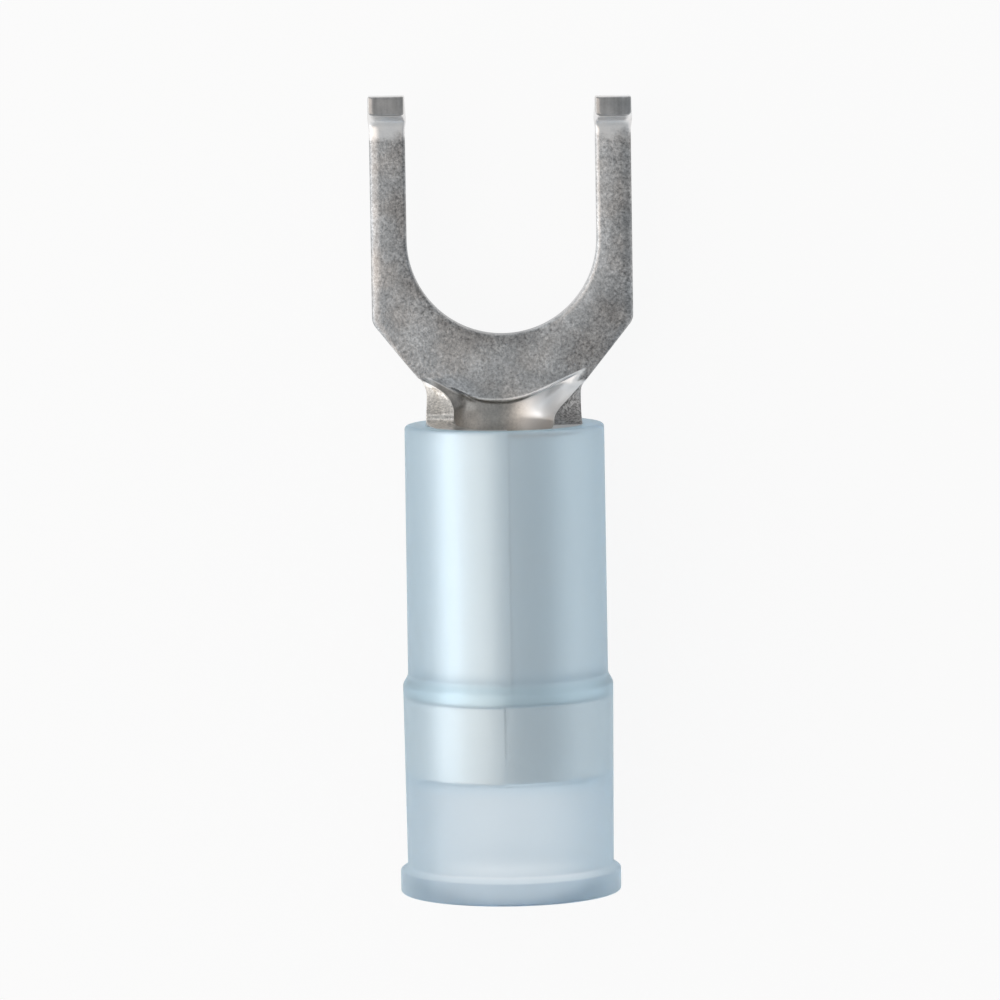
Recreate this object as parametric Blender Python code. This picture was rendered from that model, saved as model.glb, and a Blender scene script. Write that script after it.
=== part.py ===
"""Insulated fork terminal for a 5 mm screw and 1.5 to 2.5 mm2 wire.

Three pieces: a stamped and rolled fork terminal, a thin grip sleeve behind its
barrel, and a stepped insulator tube with a flared wire entry. The barrel's axis
runs along Y, the fork points to +Y, and the seam and the tip flanges face +Z.
Places along the length are distances from the wire end. A reach is measured
forwards from the insulator's front end.
"""

import math

import bmesh
import bpy

MM = 0.001

# Insulator, from the wire end
INSULATOR_LENGTH = 13.43 * MM
FRONT_WALL = 0.58 * MM
FRONT_TAPER = 0.015 * MM
FRONT_ROUND = 0.11 * MM
STEP_LEAD = 0.33 * MM
STEP_RUN = 0.37 * MM
REAR_WALL = 0.50 * MM
REAR_TAPER = 0.055 * MM
FLARE_PROUD = 0.205 * MM
FLARE_WIDTH = 0.62 * MM
FLARE_RUN = 0.20 * MM
FLARE_ROUND = 0.13 * MM
ENTRY_EASE = 0.03 * MM
FUNNEL_DEPTH = 1.00 * MM
FUNNEL_RIM = 0.38 * MM
FUNNEL_POWER = 2.2

# Fork, stamped flat
SHEET = 0.80 * MM
SLOT_WIDTH = 5.45 * MM
LEG_WIDTH = 1.025 * MM
LEG_LENGTH = 4.14 * MM
WEB_DEPTH = 0.785 * MM
NECK_REACH = 0.95 * MM
NECK_BLEND = 0.20 * MM
SHOULDER_ANGLE = math.radians(38.8)
SHOULDER_ROUND = 0.45 * MM

# Flanges bent up at the tips
FLANGE_HEIGHT = 1.90 * MM
FLANGE_THICKNESS = 0.62 * MM
FLANGE_BEND_RADIUS = 0.35 * MM
FLANGE_END_ROUND = 0.07 * MM
BEND_BULGE = 0.05 * MM

# Stamped edges: the punch draws the top edge down, and leaves the lower one crisp
OUTER_ROLL_WIDTH = 0.30 * MM
OUTER_ROLL_DEPTH = 0.17 * MM
OUTER_ROLL_GROWTH = 0.45
FLANGE_ROLL = 0.14 * MM
SLOT_ROLL = 0.09 * MM
FINE_ROLL = 0.05 * MM
LOWER_ROUND = 0.04 * MM

# Barrel, rolled from the same sheet. Its front edge is set back on the right
BARREL_RADIUS = 2.23 * MM
BARREL_INSET = 0.02 * MM
FRONT_SETBACKS = (0.02 * MM, 0.19 * MM)
SETBACK_SHARE = 0.35
SEAM_GAP = 0.06 * MM
BARREL_SEAM_LEAN = math.radians(2.5)
ENTRY_CHAMFER = 0.30 * MM
SERRATION_DEPTH = 0.12 * MM
SERRATION_HALF_WIDTH = 0.18 * MM
SERRATION_PITCH = 1.20 * MM
SERRATIONS = 3

# Neck, where the sheet curls up from the flat tongue: reaches, then angles and growths
LEFT_CURL_REACH = 1.23 * MM
LEFT_UPRIGHT_REACH = 0.27 * MM
LEFT_FRONT_CURL = math.radians(125)
LEFT_CURL_GROWTH = 0.6
RIGHT_CURL_REACH = 1.10 * MM
RIGHT_UPRIGHT_REACH = 0.02 * MM
RIGHT_FRONT_CURL = math.radians(96)
RIGHT_CURL_GROWTH = 1.0

# Coined step between the flat tongue and the trough of the neck
LIP_STEP = 0.20 * MM
LIP_REACH = 0.55 * MM
LIP_RISES = (0.93 * MM, 1.08 * MM)
LIP_POWERS = (2.6, 1.85)
LIP_FADE = (0.60, 0.88)
LIP_RUN = 0.06 * MM
LIP_MARGIN = 0.09 * MM
UNDERSIDE_RAMP = 0.90 * MM

# Grip sleeve, a rolled strip with a butt seam
SLEEVE_REAR = 3.40 * MM
SLEEVE_LENGTH = 2.22 * MM
SLEEVE_WALL = 0.20 * MM
SLEEVE_EDGE = 0.04 * MM
SLEEVE_OVERLAP = 0.40 * MM
SLEEVE_SEAM_LEAN = math.radians(2.3)
SLEEVE_SKEW = 0.035 * MM

# Clearances: the real pieces are pressed together, these keep them just apart
BARREL_CLEARANCE = 0.04 * MM
SLEEVE_CLEARANCE = 0.04 * MM
SLEEVE_END_PLAY = 0.06 * MM

# Fineness of the curves
NECK_COLUMNS = 44
FRONT_CROWDING = 1.7
ROWS_SPREAD = 0.30 * MM
EDGE_PULL = 8
ROLL_SEGMENTS = 4
TURNED_SEGMENTS = 64
SLEEVE_COLUMNS = 60
FLAT_ENOUGH = 1e-4
WELD = 0.002 * MM

# Radii, from the barrel outwards
BORE_RADIUS = BARREL_RADIUS - SHEET
SLEEVE_BORE = BARREL_RADIUS + BARREL_CLEARANCE
SLEEVE_RADIUS = SLEEVE_BORE + SLEEVE_WALL
POCKET_RADIUS = SLEEVE_RADIUS + SLEEVE_CLEARANCE
FRONT_RADIUS = SLEEVE_BORE + FRONT_WALL
STEP_FRONT_RADIUS = FRONT_RADIUS + FRONT_TAPER
STEP_REAR_RADIUS = POCKET_RADIUS + REAR_WALL
WAIST_RADIUS = STEP_REAR_RADIUS - REAR_TAPER
FLARE_RADIUS = WAIST_RADIUS + FLARE_PROUD
ENTRY_RADIUS = SLEEVE_BORE + ENTRY_EASE
FUNNEL_RADIUS = FLARE_RADIUS - FUNNEL_RIM
AXIS_HEIGHT = FLARE_RADIUS
FULL_WRAP = math.pi - SEAM_GAP / (2 * BORE_RADIUS)

# Places along the length, from the wire end forwards
WAIST = FLARE_WIDTH + FLARE_RUN
SLEEVE_FRONT = SLEEVE_REAR + SLEEVE_LENGTH
BARREL_REAR = SLEEVE_FRONT - SLEEVE_OVERLAP
STEP_REAR = SLEEVE_FRONT + STEP_LEAD
STEP_FRONT = STEP_REAR + STEP_RUN
BARREL_FRONT = INSULATOR_LENGTH - BARREL_INSET
LIP_MIDDLE = INSULATOR_LENGTH + LIP_REACH
WEB_EDGE = LIP_MIDDLE + max(LIP_RISES) + LIP_MARGIN
SLOT_RADIUS = SLOT_WIDTH / 2
LEG_OUTSIDE = SLOT_RADIUS + LEG_WIDTH
SLOT_CENTRE = WEB_EDGE + WEB_DEPTH + SLOT_RADIUS
OVERALL_LENGTH = SLOT_CENTRE + LEG_LENGTH
NECK_CORNER = INSULATOR_LENGTH + NECK_REACH
SHOULDER_CORNER = NECK_CORNER + (LEG_OUTSIDE - BARREL_RADIUS) / math.tan(SHOULDER_ANGLE)
BEND_START = OVERALL_LENGTH - FLANGE_THICKNESS - FLANGE_BEND_RADIUS

# Heights
TONGUE_TOP = LIP_STEP - BORE_RADIUS
FLANGE_RISE = FLANGE_HEIGHT - SHEET - FLANGE_BEND_RADIUS


def smooth(t):
    """0 below 0, 1 above 1, and a soft S between."""
    t = min(max(t, 0.0), 1.0)
    return t * t * (3 - 2 * t)


def mix(a, b, t):
    return a + (b - a) * t


def spread(a, b, steps):
    """steps + 1 even values from a to b."""
    return [mix(a, b, i / steps) for i in range(steps + 1)]


def clear_scene():
    for obj in list(bpy.data.objects):
        bpy.data.objects.remove(obj, do_unlink=True)


def material(name, colour, roughness, metallic, transmission=0.0):
    made = bpy.data.materials.new(name)
    made.use_nodes = True
    shader = made.node_tree.nodes["Principled BSDF"]
    shader.inputs["Base Color"].default_value = (*colour, 1)
    shader.inputs["Roughness"].default_value = roughness
    shader.inputs["Metallic"].default_value = metallic
    shader.inputs["Transmission Weight"].default_value = transmission
    return made


def finished(name, bm, finish, sharp_angle=math.radians(40)):
    """The bmesh as a named object, its faces turned out and its round faces shaded smooth."""
    bmesh.ops.recalc_face_normals(bm, faces=bm.faces)
    mesh = bpy.data.meshes.new(name)
    bm.to_mesh(mesh)
    bm.free()
    mesh.shade_smooth()
    mesh.set_sharp_from_angle(angle=sharp_angle)
    mesh.materials.append(finish)
    obj = bpy.data.objects.new(name, mesh)
    bpy.context.scene.collection.objects.link(obj)
    return obj


def place(x, along, up):
    """A point from its side, its distance from the wire end and its height over the axis."""
    return (x, along - OVERALL_LENGTH / 2, up + AXIS_HEIGHT)


def skin(bm, first, second, closed):
    """Faces between two rows of vertices, round the whole ring if closed."""
    count = len(first)
    for i in range(count if closed else count - 1):
        j = (i + 1) % count
        corners = [first[i], first[j], second[j], second[i]]
        bm.faces.new(list(dict.fromkeys(corners)))


def edge_profile(width, depth, thickness, segments):
    """(inset from the edge, depth under the top face) down a stamped edge, top to bottom."""
    profile = []
    for angle in spread(0, math.pi / 2, segments):
        profile.append((width * (1 - math.sin(angle)), depth * (1 - math.cos(angle))))
    for angle in spread(0, math.pi / 2, 2):
        inset = LOWER_ROUND * (1 - math.cos(angle))
        profile.append((inset, thickness - LOWER_ROUND * (1 - math.sin(angle))))
    return profile


def neck_half_width(along):
    """Half the stamped width where the fork's shoulders run into the straight neck."""
    slope = math.tan(SHOULDER_ANGLE)
    past = along - NECK_CORNER
    if past > NECK_BLEND:
        return BARREL_RADIUS + slope * past
    if past < -NECK_BLEND:
        return BARREL_RADIUS
    return BARREL_RADIUS + slope * (past + NECK_BLEND) ** 2 / (4 * NECK_BLEND)


def front_cut(side, wrap):
    """Where the barrel's front edge lies, as the wrap grows from the neck (0) to the seam (1)."""
    return BARREL_FRONT - FRONT_SETBACKS[side > 0] * smooth(wrap / SETBACK_SHARE)


def curl(side, along, wrap):
    """The angle to which the sheet is rolled up on one side, from 0 on the tongue."""
    if side > 0:
        reaches, growth = (RIGHT_CURL_REACH, RIGHT_UPRIGHT_REACH), RIGHT_CURL_GROWTH
    else:
        reaches, growth = (LEFT_CURL_REACH, LEFT_UPRIGHT_REACH), LEFT_CURL_GROWTH
    start, upright = (INSULATOR_LENGTH + reach for reach in reaches)
    at_front = RIGHT_FRONT_CURL if side > 0 else LEFT_FRONT_CURL
    if wrap > 0:
        return mix(at_front, FULL_WRAP - side * BARREL_SEAM_LEAN, wrap)
    if along < upright:
        past = (upright - along) / (upright - BARREL_FRONT)
        return mix(math.pi / 2, at_front, past**3)
    risen = max(start - along, 0.0) / (start - upright)
    return math.asin(smooth(risen**growth))


def lip_line(across):
    """The curved line where the flat tongue ends and the trough begins."""
    right = across > 0
    return LIP_MIDDLE + LIP_RISES[right] * abs(across) ** LIP_POWERS[right]


def rolled(across, along, depth, wrap=0.0, inset=0.0, widening=0.0):
    """A point of the neck or barrel.

    across runs from -1 at the left edge to 1 at the right one, depth is measured
    from the top or inner face, and inset from the edge. widening opens the bore.
    The sheet stays a part of a circle that tightens, so its edges stay in line.
    """
    side = 1 if across >= 0 else -1
    angle = curl(side, along, wrap)
    half = neck_half_width(along)
    if angle < FLAT_ENOUGH:
        x = side * (abs(across) * half - inset)
        up = -BORE_RADIUS - depth
    else:
        outside = half / math.sin(min(angle, math.pi / 2))
        turn = abs(across) * angle - inset / (outside - SHEET / 2)
        opened = widening * (1 - depth / SHEET)
        x = side * (outside - SHEET + depth + opened) * math.sin(turn)
        up = (outside - SHEET + depth + opened) * (1 - math.cos(turn)) - BORE_RADIUS - depth - opened
    below = LIP_STEP * smooth((along - BARREL_FRONT) / UNDERSIDE_RAMP)
    step = smooth((along - lip_line(across)) / LIP_RUN + 1)
    faded = smooth((abs(across) - LIP_FADE[0]) / (LIP_FADE[1] - LIP_FADE[0]))
    above = mix(below * faded, LIP_STEP, step)
    return place(x, along, up + mix(above, below, depth / SHEET))


def barrel_rows():
    """Rows behind the neck, each from across to (place along, wrap, widening of the bore)."""

    def wrapping(wrap):
        behind = min(front_cut(-1, wrap), front_cut(1, wrap)) - ROWS_SPREAD * wrap
        return lambda at: (mix(behind, front_cut(at, wrap), abs(at) ** EDGE_PULL), wrap, 0.0)

    def straight(along, widening):
        return lambda at: (along, 1.0, widening)

    rows = [wrapping(wrap) for wrap in spread(0, 1, 10)[1:]]
    rows.append(straight(BARREL_FRONT - max(FRONT_SETBACKS) - 2 * ROWS_SPREAD, 0.0))
    middle = (BARREL_FRONT + BARREL_REAR) / 2
    for i in range(SERRATIONS):
        groove = middle + SERRATION_PITCH * ((SERRATIONS - 1) / 2 - i)
        rows.append(straight(groove + SERRATION_HALF_WIDTH, 0.0))
        rows.append(straight(groove + SERRATION_HALF_WIDTH / 3, SERRATION_DEPTH))
        rows.append(straight(groove - SERRATION_HALF_WIDTH / 3, SERRATION_DEPTH))
        rows.append(straight(groove - SERRATION_HALF_WIDTH, 0.0))
    rows.append(straight(BARREL_REAR + ENTRY_CHAMFER, 0.0))
    rows.append(straight(BARREL_REAR, ENTRY_CHAMFER))
    return rows


def neck_places(across):
    """Places along one column of the neck, from the web to the barrel's front edge."""
    lip = lip_line(across)
    foot = lip - LIP_RUN
    places = spread(WEB_EDGE, lip, 2)
    places += spread(lip, foot, 3)[1:]
    for share in spread(1, 0, 8)[1:]:
        places.append(mix(front_cut(across, 0), foot, share**FRONT_CROWDING))
    return places


def neck_ring(bm, row):
    """A closed ring round the sheet: top face left to right, right edge, underside, left edge."""
    profile = edge_profile(FINE_ROLL, FINE_ROLL, SHEET, ROLL_SEGMENTS)
    across = spread(-1, 1, NECK_COLUMNS)
    edge = profile[0][0]

    def point(at, depth, inset):
        along, wrap, widening = row(at)
        return bm.verts.new(rolled(at, along, depth, wrap, inset, widening))

    def inset_of(at):
        return edge * abs(at)

    top = [point(at, 0.0, inset_of(at)) for at in across]
    right = [point(1, depth, inset) for inset, depth in profile[1:-1]]
    under = [point(at, SHEET, LOWER_ROUND * abs(at)) for at in reversed(across)]
    left = [point(-1, depth, inset) for inset, depth in reversed(profile[1:-1])]
    return top + right + under + left


def web_ring(bm, places, left, right):
    """The neck's first ring, which shares its two edges with the legs' first rings."""
    across = spread(-1, 1, NECK_COLUMNS)[1:-1]

    def point(at, depth, inset):
        return bm.verts.new(rolled(at, places[at][0], depth, 0.0, inset * abs(at)))

    top = [point(at, 0.0, FINE_ROLL) for at in across]
    under = [point(at, SHEET, LOWER_ROUND) for at in reversed(across)]
    return [left[0], *top, *right, *under, *reversed(left[1:])]


def outline():
    """The fork's outer edge on the right, from the neck to the leg, as (x, along) points."""
    start = (neck_half_width(WEB_EDGE), WEB_EDGE)
    reach = SHOULDER_ROUND * math.tan(SHOULDER_ANGLE / 2)
    centre_x = LEG_OUTSIDE - SHOULDER_ROUND
    centre_y = SHOULDER_CORNER + reach
    round_start = (
        centre_x + SHOULDER_ROUND * math.cos(SHOULDER_ANGLE),
        centre_y - SHOULDER_ROUND * math.sin(SHOULDER_ANGLE),
    )
    points = []
    for t in spread(0, 1, 4):
        points.append((mix(start[0], round_start[0], t), mix(start[1], round_start[1], t)))
    for angle in spread(SHOULDER_ANGLE, 0, 4)[1:]:
        x = centre_x + SHOULDER_ROUND * math.cos(angle)
        points.append((x, centre_y - SHOULDER_ROUND * math.sin(angle)))
    for t in spread(0, 1, 5)[1:]:
        points.append((LEG_OUTSIDE, mix(centre_y, SLOT_CENTRE, t)))
    return points


def leg_ring(bm, side, inner, outer, profiles, form):
    """A ring round one leg: outer edge down, inner edge up. form places a point in space."""
    outer_profile, inner_profile = profiles
    dx = outer[0] - inner[0]
    dy = outer[1] - inner[1]
    width = math.hypot(dx, dy)
    ring = []
    for inset, depth in outer_profile:
        t = 1 - inset / width
        ring.append(form(inner[0] + dx * t, inner[1] + dy * t, depth))
    for inset, depth in reversed(inner_profile):
        t = inset / width
        ring.append(form(inner[0] + dx * t, inner[1] + dy * t, depth))
    return [bm.verts.new((side * x, y, z)) for x, y, z in ring]


def flat_form(x, along, depth):
    return place(x, along, TONGUE_TOP - depth)


def leg_profiles(roll, thickness, inner_roll=SLOT_ROLL):
    """The outer and the inner edge of a leg."""
    return (
        edge_profile(roll[0], roll[1], thickness, ROLL_SEGMENTS),
        edge_profile(inner_roll, inner_roll, thickness, ROLL_SEGMENTS),
    )


def shoulder_rings(bm, side):
    """The rings from the neck's corner to the straight leg."""
    points = outline()
    travelled = [0.0]
    for a, b in zip(points, points[1:]):
        travelled.append(travelled[-1] + math.dist(a, b))
    start_angle = web_angle(1)
    rings = []
    for point, run in zip(points, travelled):
        t = run / travelled[-1]
        angle = mix(start_angle, math.pi / 2, t)
        inner = (SLOT_RADIUS * math.sin(angle), SLOT_CENTRE - SLOT_RADIUS * math.cos(angle))
        grown = smooth(t / OUTER_ROLL_GROWTH)
        roll = (
            mix(FINE_ROLL, OUTER_ROLL_WIDTH, grown),
            mix(FINE_ROLL, OUTER_ROLL_DEPTH, grown),
        )
        rings.append(leg_ring(bm, side, inner, point, leg_profiles(roll, SHEET), flat_form))
    return rings


def bent_form(turn, rise, widen):
    """Places a point of the leg past the start of the bend."""

    def form(x, _, depth):
        radius = FLANGE_BEND_RADIUS + depth
        middle = (SLOT_RADIUS + LEG_OUTSIDE) / 2
        spread_out = widen * (1 - depth / SHEET) * math.copysign(1, x - middle)
        along = BEND_START + radius * math.sin(turn) + rise * math.cos(turn)
        up = TONGUE_TOP + FLANGE_BEND_RADIUS - radius * math.cos(turn) + rise * math.sin(turn)
        return place(x + spread_out, along, up)

    return form


def leg_rings(bm, side):
    """The rings of the straight leg and of the flange bent up at its tip."""
    wide_roll = (OUTER_ROLL_WIDTH, OUTER_ROLL_DEPTH)
    rings = []
    for along in spread(SLOT_CENTRE, BEND_START, 3)[1:]:
        inner = (SLOT_RADIUS, along)
        outer = (LEG_OUTSIDE, along)
        rings.append(leg_ring(bm, side, inner, outer, leg_profiles(wide_roll, SHEET), flat_form))
    inner = (SLOT_RADIUS, BEND_START)
    outer = (LEG_OUTSIDE, BEND_START)
    for turn in spread(0, math.pi / 2, 8)[1:]:
        t = turn / (math.pi / 2)
        thickness = mix(SHEET, FLANGE_THICKNESS, t)
        roll = (mix(OUTER_ROLL_WIDTH, FLANGE_ROLL, t), mix(OUTER_ROLL_DEPTH, FLANGE_ROLL, t))
        widen = BEND_BULGE * math.sin(math.pi * t)
        form = bent_form(turn, 0.0, widen)
        rings.append(leg_ring(bm, side, inner, outer, leg_profiles(roll, thickness), form))
    flange = leg_profiles((FLANGE_ROLL, FLANGE_ROLL), FLANGE_THICKNESS)
    for rise in (FLANGE_RISE / 2, FLANGE_RISE - FLANGE_END_ROUND):
        rings.append(leg_ring(bm, side, inner, outer, flange, bent_form(math.pi / 2, rise, 0.0)))
    return rings


def end_cap(bm, ring, towards, out, reach):
    """Closes a ring with a slightly smaller face, moved out by reach, as on a rounded end."""
    centre = sum((v.co for v in ring), ring[0].co * 0) / len(ring)
    last = ring
    for angle in (math.pi / 4, math.pi / 2):
        shift = reach * math.sin(angle)
        shrink = reach * (1 - math.cos(angle))
        row = []
        for vert in ring:
            offset = vert.co - centre
            offset -= out * offset.dot(out)
            limit = (offset.length - shrink) / offset.length
            row.append(bm.verts.new(centre + offset * limit + towards * shift))
        skin(bm, last, row, closed=True)
        last = row
    bm.faces.new(last)


def web_angle(across):
    """The angle round the slot, from its bottom, at which a column of the web starts."""
    return across * math.atan2(neck_half_width(WEB_EDGE), SLOT_CENTRE - WEB_EDGE)


def slot_edge(bm, across):
    """The slot's edge above the neck, from the top face down, at one column."""
    angle = web_angle(across)
    points = []
    for inset, depth in edge_profile(SLOT_ROLL, SLOT_ROLL, SHEET, ROLL_SEGMENTS):
        reach = SLOT_RADIUS + inset
        x = reach * math.sin(angle)
        points.append(bm.verts.new(flat_form(x, SLOT_CENTRE - reach * math.cos(angle), depth)))
    return points


def outer_edge(ring):
    """The half of a leg's ring on the outer edge, top to bottom."""
    return ring[: len(ring) // 2]


def inner_edge(ring):
    """The half of a leg's ring on the slot's edge, top to bottom."""
    return ring[: len(ring) // 2 - 1 : -1]


def fork_terminal(finish):
    """The whole stamping: legs with bent tips, web, rolled neck and barrel."""
    bm = bmesh.new()
    columns = NECK_COLUMNS + 1
    profile_length = ROLL_SEGMENTS + 4
    sides = {}
    for side in (1, -1):
        rings = shoulder_rings(bm, side) + leg_rings(bm, side)
        for first, second in zip(rings, rings[1:]):
            skin(bm, first, second, closed=True)
        up = rings[-1][0].co * 0
        up.z = 1
        end_cap(bm, rings[-1], up, up, FLANGE_END_ROUND)
        sides[side] = rings[0]

    across = spread(-1, 1, NECK_COLUMNS)
    inner = [slot_edge(bm, at) for at in across[1:-1]]
    edges = [inner_edge(sides[-1]), *inner, inner_edge(sides[1])]
    places = {at: neck_places(at) for at in across}
    rings = [web_ring(bm, places, outer_edge(sides[-1]), outer_edge(sides[1]))]
    for i in range(1, len(places[across[0]])):
        rings.append(neck_ring(bm, lambda at, i=i: (places[at][i], 0.0, 0.0)))
    rings += [neck_ring(bm, row) for row in barrel_rows()]
    for first, second in zip(rings, rings[1:]):
        skin(bm, first, second, closed=True)

    web_top = rings[0][:columns]
    web_under = list(reversed(rings[0][columns + profile_length - 2 :][:columns]))
    skin(bm, [edge[0] for edge in edges], web_top, closed=False)
    skin(bm, [edge[-1] for edge in edges], web_under, closed=False)
    for first, second in zip(edges, edges[1:]):
        skin(bm, first, second, closed=False)

    last = rings[-1]
    top = last[:columns]
    under = list(reversed(last[columns + profile_length - 2 :][:columns]))
    skin(bm, top, under, closed=False)
    bm.faces.new([top[-1], *last[columns : columns + profile_length - 2], under[-1]])
    bm.faces.new([under[0], *last[2 * columns + profile_length - 2 :], top[0]])

    bmesh.ops.remove_doubles(bm, verts=bm.verts, dist=WELD)
    return finished("fork_terminal", bm, finish)


def grip_sleeve(finish):
    """A strip rolled round into a tube, its two ends meeting on top."""
    bm = bmesh.new()
    wrap = math.pi - SEAM_GAP / (2 * SLEEVE_BORE)
    outside = [
        (SLEEVE_REAR, SLEEVE_BORE + SLEEVE_EDGE),
        (SLEEVE_REAR, SLEEVE_RADIUS - SLEEVE_EDGE),
        (SLEEVE_REAR + SLEEVE_EDGE, SLEEVE_RADIUS),
        (SLEEVE_FRONT - SLEEVE_EDGE, SLEEVE_RADIUS),
        (SLEEVE_FRONT, SLEEVE_RADIUS - SLEEVE_EDGE),
        (SLEEVE_FRONT, SLEEVE_BORE + SLEEVE_EDGE),
        (SLEEVE_FRONT - SLEEVE_EDGE, SLEEVE_BORE),
        (SLEEVE_REAR + SLEEVE_EDGE, SLEEVE_BORE),
    ]
    rings = []
    for across in spread(-1, 1, SLEEVE_COLUMNS):
        angle = across * wrap + SLEEVE_SEAM_LEAN
        ring = []
        for along, radius in outside:
            point = place(radius * math.sin(angle), along + SLEEVE_SKEW * across, -radius * math.cos(angle))
            ring.append(bm.verts.new(point))
        rings.append(ring)
    for first, second in zip(rings, rings[1:]):
        skin(bm, first, second, closed=True)
    bm.faces.new(rings[0])
    bm.faces.new(rings[-1])
    return finished("grip_sleeve", bm, finish)


def rounded(centre, radius, start, end, steps):
    """Points of an arc in the profile's plane, as (along, radius)."""
    points = []
    for angle in spread(start, end, steps):
        points.append((centre[0] + radius * math.cos(angle), centre[1] + radius * math.sin(angle)))
    return points


def insulator_profile():
    """The wall's section as a closed loop of (along, radius), outside first, from the wire end."""
    quarter = math.pi / 2
    ring_end = (FLARE_ROUND, FLARE_RADIUS - FLARE_ROUND)
    points = rounded(ring_end, FLARE_ROUND, 2 * quarter, quarter, 4)
    points.append((FLARE_WIDTH, FLARE_RADIUS))
    for t in spread(0, 1, 4)[1:]:
        points.append((mix(FLARE_WIDTH, WAIST, t), mix(FLARE_RADIUS, WAIST_RADIUS, smooth(t))))
    for t in spread(0, 1, 6):
        points.append((mix(STEP_REAR, STEP_FRONT, t), mix(STEP_REAR_RADIUS, STEP_FRONT_RADIUS, smooth(t))))
    front = (INSULATOR_LENGTH - FRONT_ROUND, FRONT_RADIUS - FRONT_ROUND)
    points += rounded(front, FRONT_ROUND, quarter, 0, 4)

    lip = FRONT_ROUND / 2
    points += rounded((INSULATOR_LENGTH - lip, SLEEVE_BORE + lip), lip, 0, -quarter, 3)
    points.append((SLEEVE_FRONT + SLEEVE_SKEW + SLEEVE_END_PLAY, SLEEVE_BORE))
    points.append((SLEEVE_FRONT + SLEEVE_SKEW + SLEEVE_END_PLAY, POCKET_RADIUS))
    points.append((SLEEVE_REAR - SLEEVE_SKEW - SLEEVE_END_PLAY, POCKET_RADIUS))
    points.append((SLEEVE_REAR - SLEEVE_SKEW - SLEEVE_END_PLAY, ENTRY_RADIUS))
    for t in spread(0, 1, 5):
        opened = (FUNNEL_RADIUS - ENTRY_RADIUS) * t**FUNNEL_POWER
        points.append((FUNNEL_DEPTH * (1 - t), ENTRY_RADIUS + opened))
    return points


def nylon_insulator(finish):
    """The wall's section turned once round the barrel's axis."""
    bm = bmesh.new()
    loop = [bm.verts.new(place(0, along, radius)) for along, radius in insulator_profile()]
    edges = [bm.edges.new((a, b)) for a, b in zip(loop, loop[1:] + loop[:1])]
    bmesh.ops.spin(
        bm,
        geom=loop + edges,
        cent=place(0, 0, 0),
        axis=(0, 1, 0),
        angle=2 * math.pi,
        steps=TURNED_SEGMENTS,
        use_merge=True,
    )
    return finished("nylon_insulator", bm, finish)


def main():
    clear_scene()
    tin = material("tin_plated_copper", (0.62, 0.62, 0.61), 0.35, 1.0)
    sleeve = material("plated_sleeve", (0.60, 0.61, 0.62), 0.28, 1.0)
    nylon = material("blue_nylon", (0.45, 0.68, 0.85), 0.25, 0.0, 0.8)
    fork_terminal(tin)
    grip_sleeve(sleeve)
    nylon_insulator(nylon)


main()
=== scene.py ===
"""Insulated fork terminal, lying on a white table and seen from above.

The stamping, its grip sleeve and the nylon insulator are made here again from the
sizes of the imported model, with finer curves, and take the place of its three nodes.
Places along the length are given as a distance from the wire end.
"""

import math

import bmesh
import bpy
from mathutils import Matrix, Vector


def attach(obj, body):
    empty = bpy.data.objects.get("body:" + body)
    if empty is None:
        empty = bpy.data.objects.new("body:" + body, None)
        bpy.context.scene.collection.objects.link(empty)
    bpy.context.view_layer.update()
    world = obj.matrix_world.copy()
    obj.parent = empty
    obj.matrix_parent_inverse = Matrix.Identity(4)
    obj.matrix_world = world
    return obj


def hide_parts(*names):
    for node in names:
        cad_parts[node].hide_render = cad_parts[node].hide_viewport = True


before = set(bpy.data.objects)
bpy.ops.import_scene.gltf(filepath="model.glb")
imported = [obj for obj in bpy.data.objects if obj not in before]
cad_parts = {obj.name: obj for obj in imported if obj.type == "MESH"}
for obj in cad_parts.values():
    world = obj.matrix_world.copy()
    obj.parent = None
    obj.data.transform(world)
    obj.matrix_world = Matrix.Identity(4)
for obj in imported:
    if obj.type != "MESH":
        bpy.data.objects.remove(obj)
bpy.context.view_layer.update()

MM = 0.001

# Fork, stamped flat
SLOT_WIDTH = 5.45 * MM
FORK_WIDTH = 7.50 * MM
SHEET = 0.80 * MM
OVERALL_LENGTH = 22.80 * MM
SLOT_CENTRE = 18.61 * MM
SHOULDER_CORNER = 16.27 * MM
SHOULDER_ANGLE = math.radians(38.8)
SHOULDER_ROUND = 0.45 * MM
NECK_BLEND = 0.20 * MM
WEB_EDGE = 15.15 * MM

# Flanges bent up at the tips
FLANGE_HEIGHT = 1.90 * MM
FLANGE_THICKNESS = 0.62 * MM
FLANGE_BEND_RADIUS = 0.35 * MM
FLANGE_TAPER = 0.08 * MM
FLANGE_END_ROUND = 0.08 * MM
FLANGE_SIDE_ROUND = 0.15 * MM
BEND_BULGE = 0.0499 * MM
RIGHT_LEG_SHORTER = 0.09 * MM

# Stamped edges
OUTER_ROLL_WIDTH = 0.30 * MM
OUTER_ROLL_DEPTH = 0.17 * MM
OUTER_ROLL_GROWTH = 0.45
FLANGE_ROLL = 0.14 * MM
SLOT_ROLL = 0.08 * MM
RIGHT_SLOT_ROLL = 0.13 * MM
FINE_ROLL = 0.05 * MM
LOWER_ROUND = 0.04 * MM

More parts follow.
